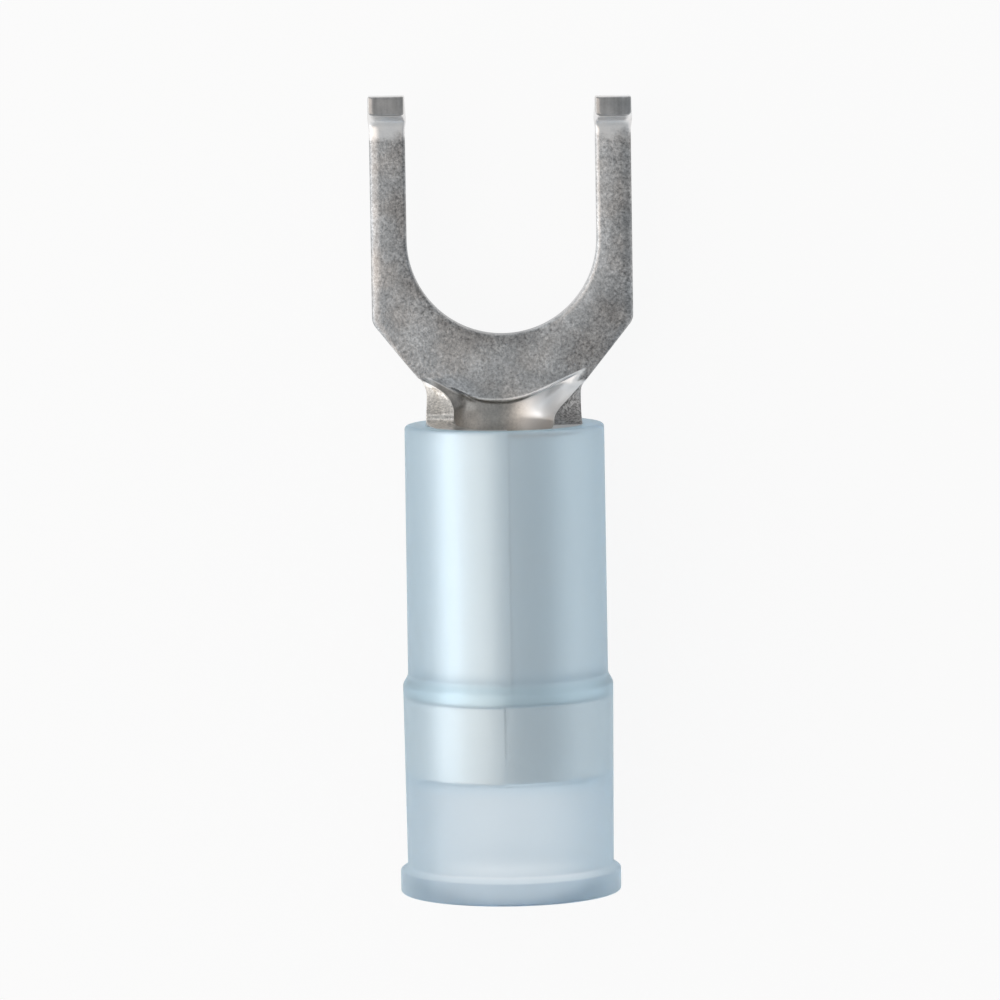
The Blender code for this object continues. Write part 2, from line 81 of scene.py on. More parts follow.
# Barrel and neck, rolled from the same sheet
BARREL_RADIUS = 2.23 * MM
BARREL_FRONT = 13.41 * MM
BARREL_REAR = 5.22 * MM
FRONT_SETBACKS = (0.02 * MM, 0.19 * MM)
SETBACK_SHARE = 0.35
SEAM_GAP = 0.004 * MM
SLEEVE_SEAM_GAP = 0.03 * MM
BARREL_SEAM_LEAN = math.radians(2.5)
ENTRY_CHAMFER = 0.30 * MM
SERRATION_DEPTH = 0.12 * MM
SERRATION_HALF_WIDTH = 0.18 * MM
SERRATION_PITCH = 1.20 * MM
SERRATIONS = 3
LEFT_CURL_START = 14.66 * MM
LEFT_UPRIGHT = 13.70 * MM
LEFT_FRONT_CURL = math.radians(125)
LEFT_CURL_GROWTH = 0.6
RIGHT_CURL_START = 14.53 * MM
RIGHT_UPRIGHT = 13.45 * MM
RIGHT_FRONT_CURL = math.radians(96)
RIGHT_CURL_GROWTH = 1.0
SHEAR_STEP = 0.05 * MM
SHEAR_LEVEL = 0.50
SHEAR_RUN = 0.06

# Coined step between the flat tongue and the trough of the neck
LIP_STEP = 0.20 * MM
LIP_MIDDLE = 13.98 * MM
LIP_RISES = (0.93 * MM, 1.08 * MM)
LIP_POWERS = (2.6, 1.85)
LIP_FADE = (0.60, 0.88)
LIP_RUN = 0.09 * MM
LIP_POLISH = 0.10 * MM
LIP_ENDS = (0.80, 0.92)
UNDERSIDE_RAMP = 0.90 * MM

# Grip sleeve
SLEEVE_FRONT = 5.62 * MM
SLEEVE_REAR = 3.40 * MM
SLEEVE_WALL = 0.20 * MM
SLEEVE_EDGE = 0.04 * MM
SLEEVE_FRONT_ROUND = 0.05 * MM
SLEEVE_SEAM_LEAN = math.radians(2.3)
SLEEVE_SKEW = 0.02 * MM

# Insulator
INSULATOR_LENGTH = 13.43 * MM
FRONT_RADIUS = 2.85 * MM
STEP_FRONT = 6.32 * MM
STEP_REAR = 5.95 * MM
STEP_FRONT_RADIUS = 2.865 * MM
STEP_REAR_RADIUS = 3.01 * MM
WAIST = 0.82 * MM
WAIST_RADIUS = 2.955 * MM
FLARE_RADIUS = 3.16 * MM
FLARE_WIDTH = 0.62 * MM
FLARE_ROUND = 0.07 * MM
FRONT_ROUND = 0.11 * MM
REAR_BORE_RADIUS = 2.30 * MM
FUNNEL_DEPTH = 1.00 * MM
FUNNEL_MOUTH = 2.78 * MM
FUNNEL_POWER = 2.2
SLEEVE_END_PLAY = 0.06 * MM
BARREL_CLEARANCE = 0.04 * MM
POCKET_OVERLAP = 0.03 * MM

# The bore runs into the metal by this much, so that no film of air shows
PRESS = 0.005 * MM

# Worked out from the sizes above
AXIS_HEIGHT = FLARE_RADIUS
BORE_RADIUS = BARREL_RADIUS - SHEET
MEAN_RADIUS = BARREL_RADIUS - SHEET / 2
TONGUE_TOP = LIP_STEP - BORE_RADIUS
SLOT_RADIUS = SLOT_WIDTH / 2
LEG_OUTSIDE = FORK_WIDTH / 2
BEND_START = OVERALL_LENGTH - FLANGE_THICKNESS - FLANGE_BEND_RADIUS
FLANGE_RISE = FLANGE_HEIGHT - SHEET - FLANGE_BEND_RADIUS
NECK_CORNER = SHOULDER_CORNER - (LEG_OUTSIDE - BARREL_RADIUS) / math.tan(SHOULDER_ANGLE)
FULL_WRAP = math.pi - SEAM_GAP / (2 * BORE_RADIUS)
SLEEVE_BORE = BARREL_RADIUS + BARREL_CLEARANCE
SLEEVE_RADIUS = SLEEVE_BORE + SLEEVE_WALL
QUARTER = math.pi / 2

# Fineness of the forms
WELD = 0.0005 * MM
NECK_COLUMNS = 140
FRONT_CROWDING = 1.5
ROWS_SPREAD = 0.30 * MM
EDGE_PULL = 8
BEHIND_FRONT = 0.8 * MM
SEAM_SHARPNESS = 0.05
FACE_SHARES = (0.02, 0.06, 0.14, 0.26, 0.38, 0.5, 0.62, 0.74, 0.86, 0.94, 0.98)
METAL_SHARP_ANGLE = math.radians(50)
NYLON_SHARP_ANGLE = math.radians(35)


def smooth(t):
    """0 below 0, 1 above 1, and a soft S between."""
    t = min(max(t, 0.0), 1.0)
    return t * t * (3 - 2 * t)


def mix(a, b, t):
    return a + (b - a) * t


def spread(a, b, steps):
    """steps + 1 even values from a to b."""
    return [mix(a, b, i / steps) for i in range(steps + 1)]


def place(x, along, up):
    """A point from its side, its distance from the wire end and its height over the axis."""
    return Vector((x, along - OVERALL_LENGTH / 2, up + AXIS_HEIGHT))


def laid_over(bm, rows, cut_columns=()):
    """A sheet of small faces laid over these rows of points.

    The columns in cut_columns lie on a sheared edge.
    """
    across = len(rows[0]) - 1
    sheared = bm.verts.layers.float.get("sheared") or bm.verts.layers.float.new("sheared")
    made = bmesh.ops.create_grid(bm, x_segments=across, y_segments=len(rows) - 1, size=1)
    corners = sorted(made["verts"], key=lambda v: (round(v.co.y, 5), v.co.x))
    points = [point for row in rows for point in row]
    for i, (corner, point) in enumerate(zip(corners, points)):
        corner.co = point
        corner[sheared] = float(i % (across + 1) in cut_columns)


def closed_up(bm):
    """Joins the sheets along their shared edges, and closes what is still open."""
    bmesh.ops.remove_doubles(bm, verts=bm.verts, dist=WELD)
    bmesh.ops.dissolve_degenerate(bm, edges=bm.edges, dist=WELD / 10)
    open_edges = [edge for edge in bm.edges if edge.is_boundary]
    bmesh.ops.holes_fill(bm, edges=open_edges, sides=0)
    bmesh.ops.recalc_face_normals(bm, faces=bm.faces)


def finished(name, bm, finish, node, sharp_angle=METAL_SHARP_ANGLE):
    """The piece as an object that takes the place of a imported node."""
    mesh = bpy.data.meshes.new(name)
    bm.to_mesh(mesh)
    bm.free()
    mesh.shade_smooth()
    mesh.set_sharp_from_angle(angle=sharp_angle)
    mesh.materials.append(finish)
    piece = bpy.data.objects.new(name, mesh)
    bpy.context.scene.collection.objects.link(piece)
    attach(piece, "root")
    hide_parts(node)


def edge_profile(width, depth, thickness, shear=0.0):
    """(inset from the edge, depth under the top face) down a stamped edge, top to bottom.

    The lower part of the edge is cut clean and stands proud by shear of the torn upper part.
    """
    profile = []
    for angle in spread(0, QUARTER, 8):
        profile.append((shear + width * (1 - math.sin(angle)), depth * (1 - math.cos(angle))))
    for share in (0.0, 0.3, 0.7, 1.0):
        level = thickness * (SHEAR_LEVEL - SHEAR_RUN * (1 - share))
        profile.append((shear * (1 - smooth(share)), level))
    for angle in spread(0, QUARTER, 3):
        inset = LOWER_ROUND * (1 - math.cos(angle))
        profile.append((inset, thickness - LOWER_ROUND * (1 - math.sin(angle))))
    return profile


def neck_half_width(along):
    """Half the stamped width where the fork's shoulders run into the straight neck."""
    slope = math.tan(SHOULDER_ANGLE)
    past = along - NECK_CORNER
    if past > NECK_BLEND:
        return BARREL_RADIUS + slope * past
    if past < -NECK_BLEND:
        return BARREL_RADIUS
    return BARREL_RADIUS + slope * (past + NECK_BLEND) ** 2 / (4 * NECK_BLEND)


def front_cut(side, wrap):
    """Where the barrel's front edge lies, as the wrap grows from the neck (0) to the seam (1)."""
    return BARREL_FRONT - FRONT_SETBACKS[side > 0] * smooth(wrap / SETBACK_SHARE)


def curl(side, along, wrap):
    """The angle to which the sheet is rolled up on one side, from 0 on the tongue."""
    if side > 0:
        start, upright, growth = RIGHT_CURL_START, RIGHT_UPRIGHT, RIGHT_CURL_GROWTH
    else:
        start, upright, growth = LEFT_CURL_START, LEFT_UPRIGHT, LEFT_CURL_GROWTH
    at_front = RIGHT_FRONT_CURL if side > 0 else LEFT_FRONT_CURL
    if wrap > 0:
        return mix(at_front, FULL_WRAP - side * BARREL_SEAM_LEAN, wrap)
    if along < upright:
        return mix(QUARTER, at_front, ((upright - along) / (upright - BARREL_FRONT)) ** 3)
    risen = max(start - along, 0.0) / (start - upright)
    return math.asin(smooth(risen**growth))


def lip_line(across):
    """The curved line where the flat tongue ends and the trough begins."""
    right = across > 0
    return LIP_MIDDLE + LIP_RISES[right] * abs(across) ** LIP_POWERS[right]


def rolled(across, along, depth, wrap=0.0, inset=0.0, widening=0.0):
    """A point of the neck or barrel.

    across runs from -1 at the left edge to 1 at the right one, depth is measured
    from the top or inner face, and inset from the edge. widening opens the bore.
    """
    side = 1 if across >= 0 else -1
    angle = curl(side, along, wrap)
    half = neck_half_width(along)
    outside = half / max(math.sin(min(angle, QUARTER)), 1e-4)
    middle = outside - SHEET / 2
    turn = abs(across) * angle - inset / middle
    radius = outside - SHEET + depth + widening * (1 - depth / SHEET)
    x = side * radius * math.sin(turn)
    up = radius * (1 - math.cos(turn)) - BORE_RADIUS - depth - widening * (1 - depth / SHEET)
    if angle < 1e-4:
        x = side * (abs(across) * half - inset)
        up = -BORE_RADIUS - depth
    below = LIP_STEP * smooth((along - BARREL_FRONT) / UNDERSIDE_RAMP)
    step = smooth((along - lip_line(across)) / LIP_RUN + 1)
    faded = smooth((abs(across) - LIP_FADE[0]) / (LIP_FADE[1] - LIP_FADE[0]))
    above = mix(below * faded, LIP_STEP, step)
    return place(x, along, up + mix(above, below, depth / SHEET))


def flat_form(x, along, depth):
    return place(x, along, TONGUE_TOP - depth)


def between(first, second, shares):
    return [first.lerp(second, share) for share in shares]


def leg_section(side, inner, outer, profiles, form):
    """A ring of points round one leg: outer edge down, underside, inner edge up, top face."""
    width = math.dist(inner, outer)

    def point(share, depth):
        found = form(mix(inner[0], outer[0], share), mix(inner[1], outer[1], share), depth)
        found.x *= side
        return found

    outside = [point(1 - inset / width, depth) for inset, depth in profiles[0]]
    inside = [point(inset / width, depth) for inset, depth in reversed(profiles[1])]
    under = between(outside[-1], inside[0], FACE_SHARES)
    top = between(inside[-1], outside[0], FACE_SHARES)
    return outside + under + inside + top + outside[:1]


def slot_edge(across, thickness):
    """The slot's edge, rounder towards the right leg."""
    roll = mix(SLOT_ROLL, RIGHT_SLOT_ROLL, smooth(across))
    return edge_profile(roll, roll, thickness)


def leg_profiles(side, roll, thickness):
    """The outer and the inner edge of a leg."""
    return edge_profile(*roll, thickness), slot_edge(side, thickness)


def outline():
    """The fork's outer edge on the right, from the neck to the leg, as (x, along) points."""
    reach = SHOULDER_ROUND * math.tan(SHOULDER_ANGLE / 2)
    centre = (LEG_OUTSIDE - SHOULDER_ROUND, SHOULDER_CORNER + reach)

    def on_round(angle):
        across = centre[0] + SHOULDER_ROUND * math.cos(angle)
        return across, centre[1] - SHOULDER_ROUND * math.sin(angle)

    start = (neck_half_width(WEB_EDGE), WEB_EDGE)
    shoulder = on_round(SHOULDER_ANGLE)
    points = []
    for t in spread(0, 1, 16):
        points.append((mix(start[0], shoulder[0], t), mix(start[1], shoulder[1], t)))
    points += [on_round(angle) for angle in spread(SHOULDER_ANGLE, 0, 10)[1:]]
    points += [(LEG_OUTSIDE, along) for along in spread(centre[1], SLOT_CENTRE, 16)[1:]]
    return points


def web_angle(across):
    """The angle round the slot, from its bottom, at which a column of the web starts."""
    return across * math.atan2(neck_half_width(WEB_EDGE), SLOT_CENTRE - WEB_EDGE)


def shoulder_sections(side):
    """The rings from the neck's corner to the straight leg."""
    points = outline()
    travelled = [0.0]
    for a, b in zip(points, points[1:]):
        travelled.append(travelled[-1] + math.dist(a, b))
    sections = []
    for point, run in zip(points, travelled):
        share = run / travelled[-1]
        angle = mix(web_angle(1), QUARTER, share)
        inner = (SLOT_RADIUS * math.sin(angle), SLOT_CENTRE - SLOT_RADIUS * math.cos(angle))
        grown = smooth(share / OUTER_ROLL_GROWTH)
        roll = (mix(FINE_ROLL, OUTER_ROLL_WIDTH, grown), mix(FINE_ROLL, OUTER_ROLL_DEPTH, grown))
        sections.append(leg_section(side, inner, point, leg_profiles(side, roll, SHEET), flat_form))
    return sections


def bent_form(turn, rise, widen, shrink=(0.0, 0.0), shorter=0.0):
    """How a point of the leg is placed past the start of the bend.

    The sheet turns by turn and then stands up by rise. widen bulges the bend's inner
    side, shrink draws in the sides and the faces, and shorter takes off the leg.
    """
    thinned = FLANGE_TAPER * rise / FLANGE_RISE

    def form(x, _, depth):
        middle = (SLOT_RADIUS + LEG_OUTSIDE) / 2
        half = (LEG_OUTSIDE - SLOT_RADIUS) / 2
        x = middle + (x - middle) * (1 - shrink[0] / half)
        core = FLANGE_THICKNESS / 2
        depth = mix(depth, core, shrink[1] / core)
        radius = FLANGE_BEND_RADIUS + depth + thinned * (1 - depth / FLANGE_THICKNESS)
        spread_out = widen * (1 - depth / SHEET) * (x - middle) / half
        along = BEND_START - shorter + radius * math.sin(turn) + rise * math.cos(turn)
        along = min(along, OVERALL_LENGTH)
        up = TONGUE_TOP + FLANGE_BEND_RADIUS - radius * math.cos(turn) + rise * math.sin(turn)
        return place(x + spread_out, along, up)

    return form


def leg_sections(side):
    """The rings of the straight leg and of the flange bent up at its tip."""
    wide_roll = (OUTER_ROLL_WIDTH, OUTER_ROLL_DEPTH)
    shorter = RIGHT_LEG_SHORTER if side > 0 else 0.0
    sections = []
    for along in spread(SLOT_CENTRE, BEND_START - shorter, 24)[1:]:
        ends = (SLOT_RADIUS, along), (LEG_OUTSIDE, along)
        sections.append(leg_section(side, *ends, leg_profiles(side, wide_roll, SHEET), flat_form))
    ends = (SLOT_RADIUS, BEND_START), (LEG_OUTSIDE, BEND_START)
    for turn in spread(0, QUARTER, 20)[1:]:
        t = turn / QUARTER
        thickness = mix(SHEET, FLANGE_THICKNESS, t)
        roll = (mix(OUTER_ROLL_WIDTH, FLANGE_ROLL, t), mix(OUTER_ROLL_DEPTH, FLANGE_ROLL, t))
        form = bent_form(turn, 0.0, BEND_BULGE * math.sin(math.pi * t), shorter=shorter)
        sections.append(leg_section(side, *ends, leg_profiles(side, roll, thickness), form))
    flange = leg_profiles(side, (FLANGE_ROLL, FLANGE_ROLL), FLANGE_THICKNESS)
    top = FLANGE_RISE - FLANGE_END_ROUND
    for rise in spread(0, top, 4)[1:]:
        form = bent_form(QUARTER, rise, 0.0, shorter=shorter)
        sections.append(leg_section(side, *ends, flange, form))
    for angle in spread(0, QUARTER, 6)[1:]:
        rise = top + FLANGE_END_ROUND * math.sin(angle)
        left = 1 - math.cos(angle)
        shrink = (FLANGE_SIDE_ROUND * left, FLANGE_END_ROUND * left)
        form = bent_form(QUARTER, rise, 0.0, shrink, shorter)
        sections.append(leg_section(side, *ends, flange, form))
    return sections


def neck_places(across):
    """Places along one column of the neck, from the web to just inside the insulator."""
    lip = lip_line(across)
    foot = lip - LIP_RUN
    near = min(LIP_POLISH, (WEB_EDGE - lip) / 2)
    places = spread(WEB_EDGE, lip + near, 5) + spread(lip + near, lip, 3)[1:]
    places += spread(lip, foot, 8)[1:]
    for share in spread(1, 0, 28)[1:]:
        places.append(mix(front_cut(across, 0), foot, share**FRONT_CROWDING))
    return places


def barrel_rows():
    """Rows behind the neck, from its front edge to the barrel's rear.

    Each is a function from across to (place along, wrap, widening of the bore).
    """

    def wrapping(wrap):
        behind = min(front_cut(-1, wrap), front_cut(1, wrap)) - ROWS_SPREAD * wrap
        return lambda at: (mix(behind, front_cut(at, wrap), abs(at) ** EDGE_PULL), wrap, 0.0)

    def straight(along, widening):
        return lambda at: (along, 1.0, widening)

    rows = [wrapping(wrap) for wrap in spread(0, 1, 40)[1:]]
    rows.append(straight(BARREL_FRONT - BEHIND_FRONT, 0.0))
    middle = (BARREL_FRONT + BARREL_REAR) / 2
    for i in range(SERRATIONS):
        groove = middle + SERRATION_PITCH * ((SERRATIONS - 1) / 2 - i)
        for step, cut in ((1, 0.0), (1 / 3, SERRATION_DEPTH), (-1 / 3, SERRATION_DEPTH), (-1, 0.0)):
            rows.append(straight(groove + step * SERRATION_HALF_WIDTH, cut))
    rows.append(straight(BARREL_REAR + ENTRY_CHAMFER, 0.0))
    rows.append(straight(BARREL_REAR, ENTRY_CHAMFER))
    return rows


def pressed(x, along):
    """1 where the neck's tools have smoothed the metal, 0 on the rolled tongue."""
    across = x / neck_half_width(along)
    beside = smooth((abs(across) - LIP_ENDS[0]) / (LIP_ENDS[1] - LIP_ENDS[0]))
    beside *= smooth((along - NECK_CORNER) / NECK_BLEND)
    return smooth((lip_line(across) + LIP_POLISH - along) / LIP_POLISH) * (1 - beside)


def neck_section(row, corners=None):
    """A ring of points round the sheet.

    It runs over the inner face from left to right, the right edge, the outer face and
    the left edge. The left edge keeps the step that the shears left.
    """
    profile = edge_profile(FINE_ROLL, FINE_ROLL, SHEET)
    shear = SHEAR_STEP * smooth((WEB_EDGE - row(-1)[0]) / (WEB_EDGE - LEFT_UPRIGHT))
    sheared = edge_profile(FINE_ROLL, FINE_ROLL, SHEET, shear)
    across = spread(-1, 1, NECK_COLUMNS)

    def point(at, depth, inset):
        along, wrap, widening = row(at)
        return rolled(at, along, depth, wrap, inset * mix(1, SEAM_SHARPNESS, wrap), widening)

    top = [point(at, 0.0, FINE_ROLL * abs(at)) for at in across]
    right = [point(1, depth, inset) for inset, depth in profile]
    under = [point(at, SHEET, LOWER_ROUND * abs(at)) for at in reversed(across)]
    left = [point(-1, depth, inset) for inset, depth in reversed(sheared)]
    if corners:
        left, right = list(reversed(corners[0])), corners[1]
    return top[1:-1] + right + under[1:-1] + left + top[1:2]


def web_columns(corners):
    """The web between the neck and the slot.

    Each column runs over its top, the slot's edge and its underside.
    """
    columns = []
    for at in spread(-1, 1, NECK_COLUMNS):
        if abs(at) == 1:
            ring = corners[at]
            half = len(edge_profile(0, 0, 0))
            faces = len(FACE_SHARES)
            outside = ring[:half]
            under = ring[half : half + faces]
            inside = ring[half + faces : 2 * half + faces]
            top = ring[2 * half + faces : -1]
            columns.append(outside[:1] + top[::-1] + inside[::-1] + under[::-1] + outside[-1:])
            continue
        angle = web_angle(at)
        edge = []
        for inset, depth in slot_edge(at, SHEET):
            reach = SLOT_RADIUS + inset
            along = SLOT_CENTRE - reach * math.cos(angle)
            edge.append(flat_form(reach * math.sin(angle), along, depth))
        first = rolled(at, WEB_EDGE, 0.0, 0.0, FINE_ROLL * abs(at))
        last = rolled(at, WEB_EDGE, SHEET, 0.0, LOWER_ROUND * abs(at))
        top = between(first, edge[0], FACE_SHARES)
        under = between(edge[-1], last, FACE_SHARES)
        columns.append([first, *top, *edge, *under, last])
    return columns


def fork_terminal(finish):
    """The whole stamping: legs with bent tips, web, rolled neck and barrel."""
    bm = bmesh.new()
    corners = {}
    for side in (1, -1):
        sections = shoulder_sections(side)
        corners[side] = sections[0]
        laid_over(bm, sections + leg_sections(side))
    laid_over(bm, web_columns(corners))
    edge = len(edge_profile(0, 0, 0))
    places = {at: neck_places(at) for at in spread(-1, 1, NECK_COLUMNS)}
    shared = (corners[-1][:edge], corners[1][:edge])
    sections = [neck_section(lambda at: (WEB_EDGE, 0.0, 0.0), shared)]
    for i in range(1, len(places[-1])):
        sections.append(neck_section(lambda at, i=i: (places[at][i], 0.0, 0.0)))
    sections += [neck_section(row) for row in barrel_rows()]
    cut_starts = (NECK_COLUMNS - 1, len(sections[0]) - 1 - edge)
    cut_columns = [start + i for start in cut_starts for i in range(edge)]
    laid_over(bm, sections, cut_columns)
    closed_up(bm)
    polish = bm.verts.layers.float.new("pressed")
    for vert in bm.verts:
        vert[polish] = pressed(vert.co.x, vert.co.y + OVERALL_LENGTH / 2)
    finished("stamped_fork_terminal", bm, finish, "fork_terminal")


def grip_sleeve(finish):
    """A strip rolled round into a tube, its two ends meeting on top."""
    bm = bmesh.new()
    wrap = math.pi - SLEEVE_SEAM_GAP / (2 * SLEEVE_BORE)
    rear = SLEEVE_REAR + SLEEVE_EDGE
    front = SLEEVE_FRONT - SLEEVE_FRONT_ROUND
    corners = (
        (rear, SLEEVE_BORE + SLEEVE_EDGE, SLEEVE_EDGE, 6),
        (rear, SLEEVE_RADIUS - SLEEVE_EDGE, SLEEVE_EDGE, 4),
        (front, SLEEVE_RADIUS - SLEEVE_FRONT_ROUND, SLEEVE_FRONT_ROUND, 2),
        (SLEEVE_FRONT - SLEEVE_EDGE, SLEEVE_BORE + SLEEVE_EDGE, SLEEVE_EDGE, 0),
    )
    loop = []
    for along, radius, edge, start in corners:
        for turn in spread(start, start - 2, 6):
            angle = turn * QUARTER / 2
            loop.append((along + edge * math.cos(angle), radius + edge * math.sin(angle)))
    loop = loop[::-1]
    rows = []
    for across in spread(-1, 1, 180):
        angle = across * wrap + SLEEVE_SEAM_LEAN
        row = []
        for along, radius in loop + loop[:1]:
            up = -radius * math.cos(angle)
            row.append(place(radius * math.sin(angle), along + SLEEVE_SKEW * across, up))
        rows.append(row)
    laid_over(bm, rows)
    closed_up(bm)
    finished("rolled_grip_sleeve", bm, finish, "grip_sleeve")


def rounded(centre, radius, start, end, steps):
    """Points of an arc in the profile's plane, as (along, radius)."""
    points = []
    for angle in spread(start, end, steps):
        points.append((centre[0] + radius * math.cos(angle), centre[1] + radius * math.sin(angle)))
    return points


def insulator_profile():
    """The wall's section as a closed loop of (along, radius), outside first, from the wire end."""
    ring_end = (FLARE_ROUND, FLARE_RADIUS - FLARE_ROUND)
    points = rounded(ring_end, FLARE_ROUND, 2 * QUARTER, QUARTER, 8)
    points.append((FLARE_WIDTH * 0.6, FLARE_RADIUS))
    for t in spread(0, 1, 10):
        points.append((mix(FLARE_WIDTH, WAIST, t), mix(FLARE_RADIUS, WAIST_RADIUS, smooth(t))))
    for t in spread(0, 1, 8)[1:-1]:
        points.append((mix(WAIST, STEP_REAR, t), mix(WAIST_RADIUS, STEP_REAR_RADIUS, t)))
    for t in spread(0, 1, 14):
        radius = mix(STEP_REAR_RADIUS, STEP_FRONT_RADIUS, smooth(t))
        points.append((mix(STEP_REAR, STEP_FRONT, t), radius))
    front = (INSULATOR_LENGTH - FRONT_ROUND, FRONT_RADIUS - FRONT_ROUND)
    for t in spread(0, 1, 8)[1:-1]:
        points.append((mix(STEP_FRONT, front[0], t), mix(STEP_FRONT_RADIUS, FRONT_RADIUS, t)))
    points += rounded(front, FRONT_ROUND, QUARTER, 0, 8)

    bore = BARREL_RADIUS - PRESS
    pocket = SLEEVE_RADIUS - PRESS
    lip = FRONT_ROUND / 2
    points += rounded((INSULATOR_LENGTH - lip, bore + lip), lip, 0, -QUARTER, 6)
    pocket_front = SLEEVE_FRONT - SLEEVE_SKEW - POCKET_OVERLAP
    pocket_rear = SLEEVE_REAR - SLEEVE_SKEW - SLEEVE_END_PLAY
    points += [(pocket_front, bore), (pocket_front, pocket), (pocket_rear, pocket)]
    points.append((pocket_rear, REAR_BORE_RADIUS))
    opened = FUNNEL_MOUTH - REAR_BORE_RADIUS
    for t in spread(0, 1, 12):
        points.append((FUNNEL_DEPTH * (1 - t), REAR_BORE_RADIUS + opened * t**FUNNEL_POWER))
    return points


def put_in_order(bm):
    """Gives points, edges and faces the same order on each run, which the spin doesn't."""
    rank = {vert: i for i, vert in enumerate(sorted(bm.verts, key=lambda vert: tuple(vert.co)))}
    bm.verts.sort(key=rank.get)
    for elements in (bm.edges, bm.faces):
        ordered = sorted(elements, key=lambda element: sorted(rank[vert] for vert in element.verts))
        place_in_row = {element: i for i, element in enumerate(ordered)}
        elements.sort(key=place_in_row.get)


def nylon_insulator(finish):
    """The wall's section turned once round the barrel's axis."""
    bm = bmesh.new()
    loop = [bm.verts.new(place(0, along, radius)) for along, radius in insulator_profile()]
    edges = [bm.edges.new((a, b)) for a, b in zip(loop, loop[1:] + loop[:1])]
    bmesh.ops.spin(
        bm, geom=loop + edges, cent=place(0, 0, 0), axis=(0, 1, 0),
        angle=2 * math.pi, steps=160, use_merge=True,
    )
    bmesh.ops.recalc_face_normals(bm, faces=bm.faces)
    put_in_order(bm)
    node, slot = "nylon_insulator", "blue_nylon"
    finished("moulded_nylon_insulator", bm, finish, node, NYLON_SHARP_ANGLE)


# Places of the colour sockets on a Mix node
COLOUR_A, COLOUR_B, COLOUR_RESULT = 6, 7, 2


class Amount:
    """A number that varies over a surface. Sums on it become Math nodes."""

    def __init__(self, finish, socket):
        self.finish = finish
        self.socket = socket

    def sum(self, operation, first, second, clamp=False):
        settings = {"operation": operation, "use_clamp": clamp}
        return self.finish.add("Math", settings, {0: first, 1: second})

    def __add__(self, other):
        return self.sum("ADD", self, other)

    def __radd__(self, other):
        return self.sum("ADD", other, self)

    def __sub__(self, other):
        return self.sum("SUBTRACT", self, other)

    def __rsub__(self, other):
        return self.sum("SUBTRACT", other, self)

    def __mul__(self, other):
        return self.sum("MULTIPLY", self, other)

    def __rmul__(self, other):
        return self.sum("MULTIPLY", other, self)

    def __pow__(self, other):
        return self.sum("POWER", self, other)

    def least(self, other):
        return self.sum("MINIMUM", self, other)

    def most(self, other):
        return self.sum("MAXIMUM", self, other)

    def clamped(self):
        return self.sum("ADD", self, 0.0, clamp=True)

    def ramped(self, low, high):
        """A soft S from 0 at low to 1 at high."""
        limits = {"Value": self, "From Min": low, "From Max": high}
        return self.finish.add("MapRange", {"interpolation_type": "SMOOTHSTEP"}, limits)


class Finish:
    """A material's nodes, with its shader's own settings given as constants."""

    def __init__(self, name, **constants):
        self.material = bpy.data.materials.new(name)
        self.material.use_nodes = True
        self.tree = self.material.node_tree
        self.shader = self.tree.nodes["Principled BSDF"]
        for socket, value in constants.items():
            self.shader.inputs[socket.replace("_", " ")].default_value = value
        coordinates = self.add("TexCoord", output=None)
        self.position = coordinates.outputs["Object"]
        parts = self.add("SeparateXYZ", values={0: self.position}, output=None)
        self.x, self.y, self.z = (Amount(self, parts.outputs[i]) for i in range(3))

    def add(self, kind, settings=None, values=None, output=0):
        """A node by its type, its settings and what goes into its sockets."""
        node = self.tree.nodes.new("ShaderNode" + kind)
        for name, value in (settings or {}).items():
            setattr(node, name, value)
        for socket, value in (values or {}).items():
            self.feed(node.inputs[socket], value)
        if output is None:
            return node
        return Amount(self, node.outputs[output])

    def feed(self, socket, value):
        if isinstance(value, Amount):
            value = value.socket
        if isinstance(value, bpy.types.NodeSocket):
            self.tree.links.new(value, socket)
        elif isinstance(value, tuple) and len(value) == 3 and socket.type == "RGBA":
            socket.default_value = (*value, 1)
        else:
            socket.default_value = value

    def grain(self, size, detail, rough=0.5, seed=0.0, stretch=None):
        """Noise from 0 to 1 whose lumps are about this long."""
        at = self.position
        if stretch or seed:
            shift = (seed * MM, seed * 0.7 * MM, -seed * MM)
            values = {"Vector": at, "Location": shift, "Scale": stretch or (1, 1, 1)}
            at = self.add("Mapping", values=values)
        values = {"Vector": at, "Scale": 1 / size, "Detail": detail, "Roughness": rough}
        return self.add("TexNoise", {"normalize": True}, values)

    def blend(self, share, first, second, way="MIX"):
        """A colour between two, or one laid on the other."""
        settings = {"data_type": "RGBA", "blend_type": way}
        node = self.add("Mix", settings, {"Factor": share}, output=None)
        self.feed(node.inputs[COLOUR_A], first)
        self.feed(node.inputs[COLOUR_B], second)
        return node.outputs[COLOUR_RESULT]

    def attribute(self, name):
        return self.add("Attribute", {"attribute_name": name}, output="Fac")

    def bump(self, height, depth, strength):
        values = {"Height": height, "Distance": depth, "Strength": strength}
        return self.add("Bump", values=values)

    def use(self, **links):
        for socket, value in links.items():
            self.feed(self.shader.inputs[socket.replace("_", " ")], value)
        return self.material


DARK_TIN = (0.16, 0.16, 0.16)
BRIGHT_TIN = (0.97, 0.97, 0.96)
NYLON_TINT = (0.61, 0.835, 0.985)
NYLON_DENSITY = 400.0
FLARE_PAINTED_SHADE = (0.80, 0.84, 0.87)
CLEAR = (1.0, 1.0, 1.0)


